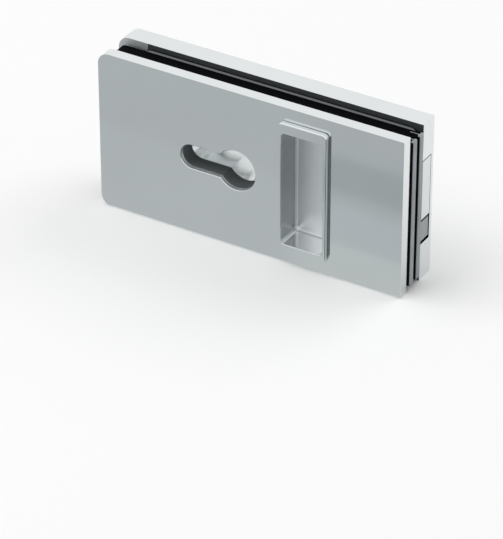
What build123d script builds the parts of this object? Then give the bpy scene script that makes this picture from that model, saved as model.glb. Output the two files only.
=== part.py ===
from build123d import *
import math
import os

os.makedirs("parts", exist_ok=True)

# All sizes are in millimetres. X runs along the lock towards the door edge, Y runs from the
# thin cover plate to the thick body plate, Z is up. The origin is on the axis of the
# cylinder's plug, in the middle plane of the glass gap.

# Overall form
LOCK_LENGTH = 136.4
LOCK_HEIGHT = 70.0
PLUG_TO_DOOR_EDGE = 73.7
PLATE_CORNER_R = 5.0
COVER_THICKNESS = 4.8
GLASS_GAP = 10.5
BODY_THICKNESS = 9.0
PLATE_WEB = 2.0
EDGE_BREAK = 0.3

# Clearances
FIT = 0.05
GAP = 0.3
SLACK = 0.1

# Keyhole profile
PLUG_R = 8.75
LEG_HALF_WIDTH = 5.25
LEG_REACH = 20.0
KEYHOLE_BREAK = 0.4

# Layers in the glass gap
BACKING_THICKNESS = 2.1
LAYER_INSET = 2.2
BACKING_SETBACK = 13.3
BACKING_END_GAP = 2.4
CORE_END_GAP = 0.4
LAYER_CORNER_R = 2.5
COLLAR_WALL = 3.5
COLLAR_SLACK = 0.1

# Cylinder sleeve
SLEEVE_WALL = 2.5
SLEEVE_FRONT = -1.35
SLEEVE_FLANGE = 2.2
SLEEVE_NECK = 3.2
SLEEVE_FLANGE_GAP = 0.4
FLANGE_CORNER_R = 2.0
CAM_SWEEP_R = 15.6
CAM_WINDOW_LOW = 0.0

# Screws: shank radius, head radius and key width
M3_R = 1.5
M3_HEAD_R = 2.75
M3_KEY = 2.0
M4_R = 2.0
M4_HEAD_R = 3.5
M4_KEY = 2.5
M5_R = 2.5
M5_HEAD_R = 3.8
M5_KEY = 3.5
GRUB_R = 1.25
GRUB_KEY = 1.3
SCREW_BITE = 6.0
HOLE_SPARE = 0.3
HEAD_SPARE = 0.1
LOW_HEAD = 1.2
ROSETTE_HEAD = 3.0
BAR_HEAD = 4.0
BAR_BITE = 5.4
CYLINDER_HEAD = 3.9
CYLINDER_HEAD_INSET = 0.6
CYLINDER_SCREW_BITE = 1.8
GRUB_INSET = 0.4
GRUB_BITE = 0.5

# Rosette
ROSETTE_SIDE = 50.0
ROSETTE_HEIGHT = 7.1
ROSETTE_WALL = 1.9
ROSETTE_CORNER_R = 3.0
ROSETTE_SHIFT = -8.0
ROSETTE_BOSS_R = 3.3
ROSETTE_SCREW_X = 20.5
ROSETTE_SCREW_Z = 20.5
ROSETTE_TIP_GAP = 1.4

# Bar handle
BAR_WIDTH = 8.0
BAR_HEIGHT = 8.3
BAR_END_INSET = 6.2
BAR_SCREW_END = 8.8
BAR_INSET = 3.1
BAR_FOOT_INSET = 0.4
BAR_FOOT_HEIGHT = 0.35

# Flush pull
PULL_FRAME_LEFT = 20.1
PULL_FRAME_WIDTH = 21.5
PULL_FRAME_TOP_INSET = 6.1
PULL_FRAME_BOTTOM_INSET = 6.4
PULL_FRAME_HEIGHT = 2.2
PULL_FRAME_CORNER_R = 1.0
PULL_CUP_CORNER_R = 1.6
PULL_RECESS_CORNER_R = 1.2
PULL_FLOOR_R = 1.1
PULL_SIDE_BORDER = 1.5
PULL_TOP_BORDER = 4.6
PULL_BOTTOM_BORDER = 3.7
PULL_FLOOR_Y = -0.45
PULL_WALL = 0.8
PULL_RING_WIDTH = 2.6
PULL_RING_THICKNESS = 1.6
PULL_RING_END = 2.6
PULL_POST_R = 1.1
PULL_POST_INSET = 1.2
PULL_RIVET_R = 1.5
PULL_RIVET_HEIGHT = 0.6

# Edge strips
STRIP_THICKNESS = 3.2
STRIP_PROUD = 0.9
STRIP_OFFSET = 1.0
STRIP_END_INSET = 2.7
STRIP_FOOT_THICKNESS = 1.2
STRIP_FOOT_DEPTH = 4.0
STRIP_FOOT_OFFSET = 0.6
STRIP_EDGE_R = 0.6

# Hook bolt, measured from its pivot
HOOK_SETBACK = 9.0
HOOK_PIVOT_Z = -13.0
HOOK_SWING_DEG = 55.0
HOOK_CRANK_R = 7.0
HOOK_LOW = 5.5
HOOK_TOP = 31.6
HOOK_ARM_WIDTH = 6.6
HOOK_NOSE_REACH = 14.6
HOOK_NOSE_FLAT = 7.5
HOOK_NOSE_DROP = 3.3
HOOK_LIP_DROP = 5.6
HOOK_LIP_FLAT = 0.5
HOOK_THROAT_LOW = 17.6
HOOK_THROAT_TOP = 19.4
HOOK_HUB_R = 6.5
HOOK_THICKNESS = 6.4
HOOK_LOBE_R = 3.4
HOOK_ROOT_TOP = 10.5
HOOK_ROOT_MID = 8.0
PIVOT_R = 2.5
BUSHING_R = 4.0
SPACER_R = 3.4
DRIVE_PIN_R = 1.5
GUARD_FACE_SETBACK = 0.3
GUARD_LOW = -5.0
GUARD_CORNER_R = 0.5
GUARD_LINE = 0.2
GUARD_SHOULDER = 2.3
GUARD_INNER = 3.5
RIVET_R = 0.9
SLOT_LOW_GAP = 0.7
SLOT_TOP_GAP = 0.4
FRONT_WALL = 1.6

# Drive slide
SLIDE_THICKNESS = 2.6
SLIDE_LOW = 12.6
SLIDE_TOP = 20.2
SLIDE_LEFT_WALL = 2.7
ARM_RIGHT = 55.5
ARM_WIDTH = 9.0
FORK_LOW = 4.0
FORK_HEAD = 7.5
FORK_WALL = 2.0
FORK_SLACK = 0.125
STUD_R = 2.0
STUD_SHOULDER_R = 3.4
STUD_ONE_X = -12.0
STUD_TWO_X = 36.0
CAM_NOTCH_WIDTH = 9.4
CAM_NOTCH_DEPTH = 4.2
CHANNEL_GAP = 0.4

# Detent
DETENT_X = 14.0
DETENT_NOTCH_HALF = 1.7
DETENT_NOTCH_DEPTH = 1.3
SPRING_HALF_LENGTH = 12.5
SPRING_THICKNESS = 0.4
SPRING_POCKET = 2.4
SPRING_WIDTH = 2.2

# Lugs that hold the cover plate
LUG_LENGTH = 10.0
LUG_HEIGHT = 6.0
LUG_INNER_INSET = 18.7
LUG_EDGE_INSET = 11.7
COVER_RIM = 4.5
COVER_INNER_RIM = 6.5
COVER_POCKET_R = 2.0
TONGUE = 1.0

# Screws through the layers, measured from the plates' edges
CORE_SCREW_EDGE_INSET = 23.7
CORE_SCREW_TOP_INSET = 7.5
CORE_SCREW_BOTTOM_INSET = 7.0

# Derived positions
x_edge = PLUG_TO_DOOR_EDGE
x_inner = x_edge - LOCK_LENGTH
half_height = LOCK_HEIGHT / 2
y_cover_in = -GLASS_GAP / 2
y_cover_out = y_cover_in - COVER_THICKNESS
y_pocket = y_cover_out + PLATE_WEB
y_body_in = GLASS_GAP / 2
y_body_out = y_body_in + BODY_THICKNESS
y_web = y_body_out - PLATE_WEB
y_core_front = y_cover_in + BACKING_THICKNESS
y_core_back = y_body_in - BACKING_THICKNESS
layer_half = half_height - LAYER_INSET
y_sleeve_end = y_body_out + SLEEVE_FLANGE
y_neck_end = y_body_out + SLEEVE_NECK
y_rosette_web = y_body_out + ROSETTE_HEIGHT - ROSETTE_WALL
y_rosette_out = y_body_out + ROSETTE_HEIGHT

swing = math.radians(HOOK_SWING_DEG)
travel = 2 * HOOK_CRANK_R * math.sin(swing / 2)
x_pivot = x_edge - HOOK_SETBACK
z_pivot = HOOK_PIVOT_Z
x_drive = x_pivot - HOOK_CRANK_R * math.sin(swing / 2)
z_drive = z_pivot + HOOK_CRANK_R * math.cos(swing / 2)
y_hook_in = y_body_in + GAP
y_hook_out = y_web - GAP
y_slide_in = y_hook_in
y_slide_out = y_slide_in + SLIDE_THICKNESS
y_step = y_slide_out + GAP
fork_half = DRIVE_PIN_R + FORK_SLACK
x_arm_left = ARM_RIGHT - ARM_WIDTH
x_slide_left = STUD_ONE_X - travel - STUD_R - GAP / 2 - SLIDE_LEFT_WALL
z_stud = (SLIDE_LOW + SLIDE_TOP) / 2
guard_face = HOOK_SETBACK - GUARD_FACE_SETBACK
guard_sweep = math.hypot(guard_face - GUARD_CORNER_R, GUARD_LOW + GUARD_CORNER_R) + GUARD_CORNER_R
relief_r = guard_sweep + GAP
z_chamber_low = z_pivot - relief_r
z_chamber_top = z_pivot + HOOK_TOP + 2 * SLOT_TOP_GAP + 0.2
z_channel_top = SLIDE_TOP + CHANNEL_GAP
z_spring_roof = z_channel_top + SPRING_POCKET

bar_x = x_inner + BAR_INSET + BAR_WIDTH / 2
bar_half = half_height - BAR_END_INSET
z_bar_screw = bar_half - BAR_SCREW_END
y_cylinder_screw = (y_body_in + y_body_out) / 2
z_cylinder_head = -half_height + CYLINDER_HEAD + CYLINDER_HEAD_INSET
y_lug_mid = (y_pocket + y_cover_in) / 2
z_cover_rim = half_height - COVER_RIM
lug_x = (x_inner + LUG_INNER_INSET, x_edge - LUG_EDGE_INSET)

x_core_inner = (x_inner + BACKING_SETBACK - LEG_REACH - LEG_HALF_WIDTH - COLLAR_WALL - GAP) / 2
x_core_edge = x_edge - CORE_SCREW_EDGE_INSET
core_screw_spots = (
    (x_core_inner, 0.0),
    (x_core_edge, half_height - CORE_SCREW_TOP_INSET),
    (x_core_edge, -half_height + CORE_SCREW_BOTTOM_INSET),
)
rosette_screw_spots = (
    (ROSETTE_SHIFT - ROSETTE_SCREW_X, ROSETTE_SCREW_Z),
    (ROSETTE_SHIFT + ROSETTE_SCREW_X, -ROSETTE_SCREW_Z),
)
leg_wall_r = LEG_HALF_WIDTH + SLEEVE_WALL

pull_x = PULL_FRAME_LEFT + PULL_FRAME_WIDTH / 2
pull_top = half_height - PULL_FRAME_TOP_INSET
pull_bottom = -half_height + PULL_FRAME_BOTTOM_INSET
pull_post_spots = (pull_top - PULL_POST_INSET, pull_bottom + PULL_POST_INSET)
y_ring_back = y_pocket + PULL_RING_THICKNESS


# Basic shapes

def block(x0, x1, y0, y1, z0, z1):
    centre = Pos((x0 + x1) / 2, (y0 + y1) / 2, (z0 + z1) / 2)
    return centre * Box(x1 - x0, y1 - y0, z1 - z0)


def rod_y(x, z, radius, y0, y1):
    return Pos(x, (y0 + y1) / 2, z) * Rot(90, 0, 0) * Cylinder(radius, y1 - y0)


def rod_z(x, y, radius, z0, z1):
    return Pos(x, y, (z0 + z1) / 2) * Cylinder(radius, z1 - z0)


def hex_y(x, z, across, y0, y1):
    sketch = Plane.XZ * RegularPolygon(across / math.sqrt(3), 6)
    return Pos(x, y0, z) * extrude(sketch, amount=y1 - y0, dir=(0, 1, 0))


def prism_y(points, y0, y1):
    outline = Polyline(*[(x, 0, z) for x, z in points], close=True)
    return Pos(0, y0, 0) * extrude(make_face(outline), amount=y1 - y0, dir=(0, 1, 0))


def round_corners(solid, side, radius):
    group = solid.edges().filter_by(Axis.Y).group_by(Axis.X)[side]
    return fillet(group, radius)


def break_outer_edges(solid, axis, side, size):
    face = solid.faces().filter_by(axis).sort_by(axis)[side]
    return chamfer(face.outer_wire().edges(), size)


def keyhole(offset, y0, y1):
    plug = rod_y(0, 0, PLUG_R + offset, y0, y1)
    leg = block(-LEG_REACH, 0, y0, y1, -LEG_HALF_WIDTH - offset, LEG_HALF_WIDTH + offset)
    end = rod_y(-LEG_REACH, 0, LEG_HALF_WIDTH + offset, y0, y1)
    return plug + leg + end


def hex_z(x, y, across, z0, z1):
    sketch = RegularPolygon(across / math.sqrt(3), 6)
    return Pos(x, y, z0) * extrude(sketch, amount=z1 - z0, dir=(0, 0, 1))


def cap_screw(x, z, y_seat, head_height, y_tip, size):
    shank_r, head_r, key = size
    y_head = y_seat + head_height
    head = rod_y(x, z, head_r, min(y_seat, y_head), max(y_seat, y_head))
    shank = rod_y(x, z, shank_r, min(y_seat, y_tip), max(y_seat, y_tip))
    y_floor = y_head - 0.6 * head_height
    socket = hex_y(x, z, key, min(y_head, y_floor), max(y_head, y_floor))
    return head + shank - socket


def solids_of(items):
    return Compound(children=[item.solids()[0] if len(item.solids()) == 1 else item for item in items])


def at_hook(points):
    return [(x_pivot + u, z_pivot + w) for u, w in points]


# Plates

def body_plate():
    plate = block(x_inner, x_edge, y_body_in, y_body_out, -half_height, half_height)
    plate = round_corners(plate, 0, PLATE_CORNER_R)
    plate = break_outer_edges(plate, Axis.Y, -1, EDGE_BREAK)
    plate -= keyhole(SLEEVE_WALL + GAP, y_body_in, y_body_out)
    sweep = rod_y(0, 0, CAM_SWEEP_R, y_body_in, y_web)
    plate -= sweep & block(-CAM_SWEEP_R, CAM_SWEEP_R, y_body_in, y_web, CAM_WINDOW_LOW, CAM_SWEEP_R)
    x_channel = x_slide_left - CHANNEL_GAP
    x_arm = ARM_RIGHT + travel + CHANNEL_GAP
    plate -= block(x_channel, x_arm, y_body_in, y_web, SLIDE_LOW - CHANNEL_GAP, z_channel_top)
    x_spring0 = DETENT_X - SPRING_HALF_LENGTH - GAP
    x_spring1 = DETENT_X + SPRING_HALF_LENGTH + GAP
    plate -= block(x_spring0, x_spring1, y_body_in, y_web, SLIDE_TOP, z_spring_roof)
    x_chamber = x_arm_left - CHANNEL_GAP
    x_wall = x_edge - FRONT_WALL
    plate -= block(x_chamber, x_wall, y_body_in, y_web, z_chamber_low, z_chamber_top)
    relief = rod_y(x_pivot, z_pivot, relief_r, y_body_in, y_web)
    plate -= relief & block(x_pivot, x_edge, y_body_in, y_web, z_chamber_low, z_pivot)
    z_slot0 = z_pivot + GUARD_LOW - SLOT_LOW_GAP
    z_slot1 = z_pivot + HOOK_TOP + SLOT_TOP_GAP
    plate -= block(x_wall - 1, x_edge + 1, y_body_in, y_web, z_slot0, z_slot1)
    y_blind = y_web + PLATE_WEB * 0.7
    plate -= rod_y(x_pivot, z_pivot, PIVOT_R + FIT, y_web, y_blind)
    for x in (STUD_ONE_X, STUD_TWO_X):
        plate -= rod_y(x, z_stud, STUD_R + FIT, y_web, y_blind)
    y_hole = y_body_in + SCREW_BITE + HOLE_SPARE
    for x, z in core_screw_spots:
        plate -= rod_y(x, z, M4_R + FIT, y_body_in, y_hole)
    for x, z in rosette_screw_spots:
        plate -= rod_y(x, z, M3_R + GAP, y_body_in, y_body_out)
        plate -= rod_y(x, z, M3_HEAD_R + GAP, y_body_in, y_body_in + ROSETTE_HEAD + GAP)
    for z in (-z_bar_screw, z_bar_screw):
        plate -= rod_y(bar_x, z, M4_R + GAP, y_body_in, y_body_out)
        plate -= rod_y(bar_x, z, M4_HEAD_R + GAP, y_body_in, y_body_in + BAR_HEAD + GAP)
    z_leg = -LEG_HALF_WIDTH - SLEEVE_WALL + 0.5
    plate -= rod_z(-LEG_REACH, y_cylinder_screw, M5_R + FIT, -half_height, z_leg)
    plate -= rod_z(-LEG_REACH, y_cylinder_screw, M5_HEAD_R + GAP, -half_height, z_cylinder_head)
    return plate


def cover_plate():
    plate = block(x_inner, x_edge, y_cover_out, y_cover_in, -half_height, half_height)
    plate = round_corners(plate, 0, PLATE_CORNER_R)
    plate = break_outer_edges(plate, Axis.Y, 0, EDGE_BREAK)
    pocket = block(
        x_inner + COVER_INNER_RIM,
        x_edge - COVER_RIM,
        y_pocket,
        y_cover_in,
        -half_height + COVER_RIM,
        half_height - COVER_RIM,
    )
    pocket = round_corners(pocket, 0, COVER_POCKET_R)
    plate -= pocket
    hole = keyhole(0, y_cover_out - 1, y_pocket + 1)
    plate -= hole
    rim = plate.faces().filter_by(Axis.Y).sort_by(Axis.Y)[0]
    plate = chamfer(rim.inner_wires()[0].edges(), KEYHOLE_BREAK)
    left, right, low, top = pull_cup_outline()
    plate -= block(left - GAP, right + GAP, y_cover_out, y_cover_in, low - GAP, top + GAP)
    for z in pull_post_spots:
        plate -= rod_y(pull_x, z, PULL_POST_R + FIT, y_cover_out, y_cover_in)
    y_groove = TONGUE / 2 + SLACK
    z_groove = z_cover_rim + TONGUE + GAP
    for x in lug_x:
        x0 = x - LUG_LENGTH / 2 - GAP
        x1 = x + LUG_LENGTH / 2 + GAP
        plate -= block(x0, x1, y_lug_mid - y_groove, y_lug_mid + y_groove, z_cover_rim, z_groove)
        plate -= rod_z(x, y_lug_mid, GRUB_R + FIT, -half_height, -z_cover_rim)
    return plate


def pull_cup_outline():
    left = PULL_FRAME_LEFT + PULL_SIDE_BORDER - PULL_WALL
    right = PULL_FRAME_LEFT + PULL_FRAME_WIDTH - PULL_SIDE_BORDER + PULL_WALL
    low = pull_bottom + PULL_BOTTOM_BORDER - PULL_WALL
    top = pull_top - PULL_TOP_BORDER + PULL_WALL
    return left, right, low, top


def layer_blank(x0, x1, y0, y1, right_radius):
    blank = block(x0, x1, y0, y1, -layer_half, layer_half)
    blank = round_corners(blank, 0, LAYER_CORNER_R)
    if right_radius > 0:
        blank = round_corners(blank, -1, right_radius)
    return blank


def mechanism_cover():
    x0 = x_inner + BACKING_SETBACK
    plate = layer_blank(x0, x_edge - BACKING_END_GAP, y_core_back, y_body_in, LAYER_CORNER_R)
    plate -= keyhole(SLEEVE_WALL + GAP, y_core_back, y_body_in)
    plate -= rod_y(x_pivot, z_pivot, PIVOT_R + FIT, y_core_back, y_body_in)
    for x in (STUD_ONE_X, STUD_TWO_X):
        plate -= rod_y(x, z_stud, STUD_R + FIT, y_core_back, y_body_in)
    for x, z in core_screw_spots:
        plate -= rod_y(x, z, M4_R + GAP, y_core_back, y_body_in)
    return plate


def core_backing():
    x0 = x_inner + BACKING_SETBACK
    plate = layer_blank(x0, x_edge - BACKING_END_GAP, y_cover_in, y_core_front, LAYER_CORNER_R)
    plate -= keyhole(COLLAR_WALL + GAP, y_cover_in, y_core_front)
    left, right, low, top = pull_cup_outline()
    plate -= block(left - GAP, right + GAP, y_cover_in, y_core_front, low - GAP, top + GAP)
    for x, z in core_screw_spots:
        plate -= rod_y(x, z, M4_R + GAP, y_cover_in, y_core_front)
        plate -= rod_y(x, z, M4_HEAD_R + GAP, y_cover_in, y_cover_in + LOW_HEAD + HEAD_SPARE)
    for x in lug_x:
        plate += lug(x, 1)
        plate += lug(x, -1)
        tip = rod_z(x, y_lug_mid, GRUB_R + FIT, -z_cover_rim, -z_cover_rim + SLACK + GRUB_BITE)
        plate -= tip
    return plate


def lug(x, side):
    z_outer = z_cover_rim - SLACK
    z_inner = z_outer - LUG_HEIGHT
    z0, z1 = (z_inner, z_outer) if side > 0 else (-z_outer, -z_inner)
    half = LUG_LENGTH / 2
    body = block(x - half, x + half, y_pocket + GAP, y_cover_in, z0, z1)
    if side > 0:
        y0 = y_lug_mid - TONGUE / 2
        body += block(x - half, x + half, y0, y0 + TONGUE, z1, z1 + TONGUE)
    return body


def core_block():
    core = layer_blank(x_inner + LAYER_INSET, x_edge - CORE_END_GAP, y_core_front, y_core_back, 0)
    core += keyhole(COLLAR_WALL, y_pocket + COLLAR_SLACK, y_core_front)
    core -= keyhole(0, y_pocket, y_core_back)
    core -= keyhole(SLEEVE_WALL + GAP, SLEEVE_FRONT, y_core_back)
    left, right, low, top = pull_cup_outline()
    y_floor = PULL_FLOOR_Y + PULL_WALL + GAP
    core -= block(left - GAP, right + GAP, y_core_front, y_floor, low - GAP, top + GAP)
    for x, z in core_screw_spots:
        core -= rod_y(x, z, M4_R + GAP, y_core_front, y_core_back)
    for side in (-1, 1):
        y0, y1 = strip_foot_span(side)
        core -= block(
            x_edge - CORE_END_GAP - STRIP_FOOT_DEPTH - SLACK,
            x_edge,
            y0 - FIT,
            y1 + FIT,
            -layer_half,
            layer_half,
        )
    return core


# Parts round the keyhole

def cylinder_sleeve():
    sleeve = keyhole(SLEEVE_WALL, SLEEVE_FRONT, y_neck_end)
    half = ROSETTE_SIDE / 2 - ROSETTE_WALL - SLEEVE_FLANGE_GAP
    x0 = ROSETTE_SHIFT - half
    x1 = ROSETTE_SHIFT + half
    flange = block(x0, x1, y_body_out, y_sleeve_end, -half, half)
    flange = round_corners(flange, 0, FLANGE_CORNER_R)
    flange = round_corners(flange, -1, FLANGE_CORNER_R)
    sleeve += flange
    sleeve -= keyhole(0, SLEEVE_FRONT, y_neck_end)
    window = block(-CAM_SWEEP_R, CAM_SWEEP_R, y_hook_in, y_hook_out, CAM_WINDOW_LOW, CAM_SWEEP_R)
    sleeve -= window
    for x, z in rosette_screw_spots:
        sleeve -= rod_y(x, z, M3_R + GAP, y_body_out, y_sleeve_end)
    sleeve -= rod_z(-LEG_REACH, y_cylinder_screw, M5_R + FIT, -leg_wall_r - 1, 1 - LEG_HALF_WIDTH)
    return sleeve


def rosette():
    half = ROSETTE_SIDE / 2
    x0 = ROSETTE_SHIFT - half
    x1 = ROSETTE_SHIFT + half
    shell = block(x0, x1, y_body_out, y_rosette_out, -half, half)
    shell = round_corners(shell, 0, ROSETTE_CORNER_R)
    shell = round_corners(shell, -1, ROSETTE_CORNER_R)
    shell = break_outer_edges(shell, Axis.Y, -1, EDGE_BREAK)
    hollow = block(
        x0 + ROSETTE_WALL,
        x1 - ROSETTE_WALL,
        y_body_out,
        y_rosette_web,
        -half + ROSETTE_WALL,
        half - ROSETTE_WALL,
    )
    shell -= hollow
    y_tip = y_rosette_web - ROSETTE_TIP_GAP + HOLE_SPARE
    for x, z in rosette_screw_spots:
        shell += rod_y(x, z, ROSETTE_BOSS_R, y_sleeve_end, y_rosette_web)
        shell -= rod_y(x, z, M3_R + FIT, y_sleeve_end, y_tip)
    shell -= keyhole(0, y_rosette_web - 1, y_rosette_out + 1)
    return shell


# Handles

def bar_handle():
    x0 = x_inner + BAR_INSET
    x1 = x0 + BAR_WIDTH
    half = bar_half
    y_foot = y_body_out + BAR_FOOT_HEIGHT
    bar = block(x0, x1, y_foot, y_body_out + BAR_HEIGHT, -half, half)
    bar = chamfer(bar.edges().filter_by(Axis.Y), EDGE_BREAK)
    inset = BAR_FOOT_INSET
    bar += block(x0 + inset, x1 - inset, y_body_out, y_foot, -half + inset, half - inset)
    for z in (-z_bar_screw, z_bar_screw):
        bar -= rod_y(bar_x, z, M4_R + FIT, y_body_out, y_body_out + BAR_BITE + HOLE_SPARE)
    return bar


def flush_pull():
    x0 = PULL_FRAME_LEFT
    x1 = x0 + PULL_FRAME_WIDTH
    y_front = y_cover_out - PULL_FRAME_HEIGHT
    frame = block(x0, x1, y_front, y_cover_out, pull_bottom, pull_top)
    frame = round_corners(frame, 0, PULL_FRAME_CORNER_R)
    frame = round_corners(frame, -1, PULL_FRAME_CORNER_R)
    frame = break_outer_edges(frame, Axis.Y, 0, EDGE_BREAK)
    left, right, low, top = pull_cup_outline()
    cup = block(left, right, y_front + 1, PULL_FLOOR_Y + PULL_WALL, low, top)
    cup = fillet(cup.edges().filter_by(Axis.Y), PULL_CUP_CORNER_R)
    wall = PULL_WALL
    recess = block(left + wall, right - wall, y_front - 1, PULL_FLOOR_Y, low + wall, top - wall)
    recess = fillet(recess.edges().filter_by(Axis.Y), PULL_RECESS_CORNER_R)
    recess = fillet(recess.faces().sort_by(Axis.Y)[-1].edges(), PULL_FLOOR_R)
    pull = frame + cup - recess
    for z in pull_post_spots:
        pull += rod_y(pull_x, z, PULL_POST_R, y_cover_out, y_ring_back)
        pull += rod_y(pull_x, z, PULL_RIVET_R, y_ring_back, y_ring_back + PULL_RIVET_HEIGHT)
    return pull


def pull_clamp_ring():
    left, right, low, top = pull_cup_outline()
    wide = PULL_RING_WIDTH
    z0 = pull_post_spots[1] - PULL_RING_END
    z1 = pull_post_spots[0] + PULL_RING_END
    ring = block(left - wide, right + wide, y_pocket, y_ring_back, z0, z1)
    ring -= block(left - GAP, right + GAP, y_pocket, y_ring_back, low - GAP, top + GAP)
    for z in pull_post_spots:
        ring -= rod_y(pull_x, z, PULL_POST_R + FIT, y_pocket, y_ring_back)
    return ring


# Edge strips

def strip_span(side):
    near = STRIP_OFFSET
    far = STRIP_OFFSET + STRIP_THICKNESS
    return (near, far) if side > 0 else (-far, -near)


def strip_foot_span(side):
    y0, y1 = strip_span(side)
    if side > 0:
        return y0 + STRIP_FOOT_OFFSET, y0 + STRIP_FOOT_OFFSET + STRIP_FOOT_THICKNESS
    return y1 - STRIP_FOOT_OFFSET - STRIP_FOOT_THICKNESS, y1 - STRIP_FOOT_OFFSET


def edge_strip(side):
    half = half_height - STRIP_END_INSET
    y0, y1 = strip_span(side)
    x0 = x_edge - CORE_END_GAP
    head = block(x0, x_edge + STRIP_PROUD, y0, y1, -half, half)
    head = fillet(head.edges().filter_by(Axis.Y).group_by(Axis.X)[-1], STRIP_EDGE_R)
    f0, f1 = strip_foot_span(side)
    foot = block(x0 - STRIP_FOOT_DEPTH, x0, f0, f1, -half, half)
    return head + foot


# Hook bolt and its bearings

def hook_outline(low_points):
    s = HOOK_SETBACK
    inner = s - HOOK_ARM_WIDTH
    tip = s - HOOK_NOSE_REACH
    points = [
        (s, HOOK_LOW),
        (s, HOOK_TOP),
        (s - HOOK_NOSE_FLAT, HOOK_TOP),
        (tip + 2 * HOOK_LIP_FLAT, HOOK_TOP - HOOK_NOSE_DROP),
        (tip, HOOK_TOP - HOOK_LIP_DROP),
        (tip + HOOK_LIP_FLAT, HOOK_TOP - HOOK_LIP_DROP - HOOK_LIP_FLAT),
        (inner + 2 * HOOK_LIP_FLAT, HOOK_THROAT_TOP),
        (inner, HOOK_THROAT_LOW),
    ]
    return at_hook(points + low_points)


def hook_bolt():
    inner = HOOK_SETBACK - HOOK_ARM_WIDTH
    thin_low = [(inner, HOOK_ROOT_TOP), (0, HOOK_ROOT_MID), (0, HOOK_LOW)]
    thick_low = [(inner, HOOK_ROOT_MID), (HOOK_SETBACK - HOOK_LOBE_R, HOOK_LOW)]
    hook = prism_y(hook_outline(thin_low), y_step, y_hook_out)
    hook += prism_y(hook_outline(thick_low), y_hook_in, y_step + GAP)
    hub = rod_y(x_pivot, z_pivot, HOOK_HUB_R, y_step, y_hook_out)
    hook += hub
    hook += rod_y(x_drive, z_drive, HOOK_LOBE_R, y_step, y_hook_out)
    hook -= rod_y(x_pivot, z_pivot, BUSHING_R + FIT, y_step, y_hook_out)
    hook -= rod_y(x_drive, z_drive, DRIVE_PIN_R + FIT, y_step, y_hook_out)
    rx, rz = rivet_spot()
    hook -= rod_y(rx, rz, RIVET_R + FIT, y_step, y_hook_out)
    return hook


def rivet_spot():
    return x_pivot + (BUSHING_R + HOOK_HUB_R) / 2, z_pivot - 0.5


def hook_guard():
    top = HOOK_LOW - GUARD_LINE
    x0 = x_pivot + GUARD_INNER
    x1 = x_pivot + guard_face
    z_mid = z_pivot + GUARD_SHOULDER
    low = block(x0, x1, y_hook_in, y_hook_out, z_pivot + GUARD_LOW, z_mid)
    upper = block(x0, x1, y_hook_in, y_hook_out, z_mid, z_pivot + top)
    corner = low.edges().filter_by(Axis.Y).sort_by(Axis.X)[-2:].sort_by(Axis.Z)[0]
    guard = fillet(corner, GUARD_CORNER_R) + upper
    guard -= rod_y(x_pivot, z_pivot, HOOK_HUB_R + FIT, y_step, y_hook_out)
    guard -= rod_y(x_pivot, z_pivot, SPACER_R + 2 * GAP, y_hook_in, y_step)
    rx, rz = rivet_spot()
    guard -= rod_y(rx, rz, RIVET_R + FIT, y_hook_in, y_step)
    return guard


def guard_rivet():
    rx, rz = rivet_spot()
    return rod_y(rx, rz, RIVET_R, y_hook_in, y_hook_out)


def hook_pivot_pin():
    return rod_y(x_pivot, z_pivot, PIVOT_R, y_core_back, y_web + PLATE_WEB * 0.6)


def hook_bushing():
    ring = rod_y(x_pivot, z_pivot, BUSHING_R, y_step, y_hook_out)
    return ring - rod_y(x_pivot, z_pivot, PIVOT_R + FIT, y_step, y_hook_out)


def pivot_spacer():
    ring = rod_y(x_pivot, z_pivot, SPACER_R, y_body_in, y_step - SLACK)
    return ring - rod_y(x_pivot, z_pivot, PIVOT_R + FIT, y_body_in, y_step - SLACK)


def hook_drive_pin():
    return rod_y(x_drive, z_drive, DRIVE_PIN_R, y_hook_in, y_hook_out)


# Drive slide

def drive_slide():
    y0 = y_slide_in
    y1 = y_slide_out
    z_fork_low = z_pivot + FORK_LOW
    z_fork_top = z_fork_low + FORK_HEAD
    x_fork_end = x_drive + fork_half + FORK_WALL
    slide = block(x_slide_left, ARM_RIGHT, y0, y1, SLIDE_LOW, SLIDE_TOP)
    slide += block(x_arm_left, ARM_RIGHT, y0, y1, z_fork_low, SLIDE_TOP)
    slide += block(x_arm_left, x_fork_end, y0, y1, z_fork_low, z_fork_top)
    z_pin_top = z_pivot + HOOK_CRANK_R + DRIVE_PIN_R + FORK_SLACK
    slide -= block(x_drive - fork_half, x_drive + fork_half, y0, y1, z_fork_low, z_pin_top)
    x_notch = -travel / 2
    half = CAM_NOTCH_WIDTH / 2
    slide -= block(x_notch - half, x_notch + half, y0, y1, SLIDE_LOW, SLIDE_LOW + CAM_NOTCH_DEPTH)
    for x in (STUD_ONE_X, STUD_TWO_X):
        slide -= stud_slot(x, y0, y1)
    for x in (DETENT_X, DETENT_X - travel):
        slide -= detent_notch(x, y0, y1)
    return slide


def stud_slot(x, y0, y1):
    radius = STUD_R + GAP / 2
    slot = block(x - travel, x, y0, y1, z_stud - radius, z_stud + radius)
    slot += rod_y(x, z_stud, radius, y0, y1)
    slot += rod_y(x - travel, z_stud, radius, y0, y1)
    return slot


def detent_notch(x, y0, y1):
    half = DETENT_NOTCH_HALF
    points = [(x - half, SLIDE_TOP), (x, SLIDE_TOP - DETENT_NOTCH_DEPTH), (x + half, SLIDE_TOP)]
    points += [(x + half, SLIDE_TOP + 1), (x - half, SLIDE_TOP + 1)]
    return prism_y(points, y0, y1)


def slide_studs():
    studs = []
    for x in (STUD_ONE_X, STUD_TWO_X):
        stud = rod_y(x, z_stud, STUD_SHOULDER_R, y_slide_out + SLACK, y_web)
        stud += rod_y(x, z_stud, STUD_R, y_core_back + GAP, y_web + PLATE_WEB * 0.6)
        studs.append(stud)
    return solids_of(studs)


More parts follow.
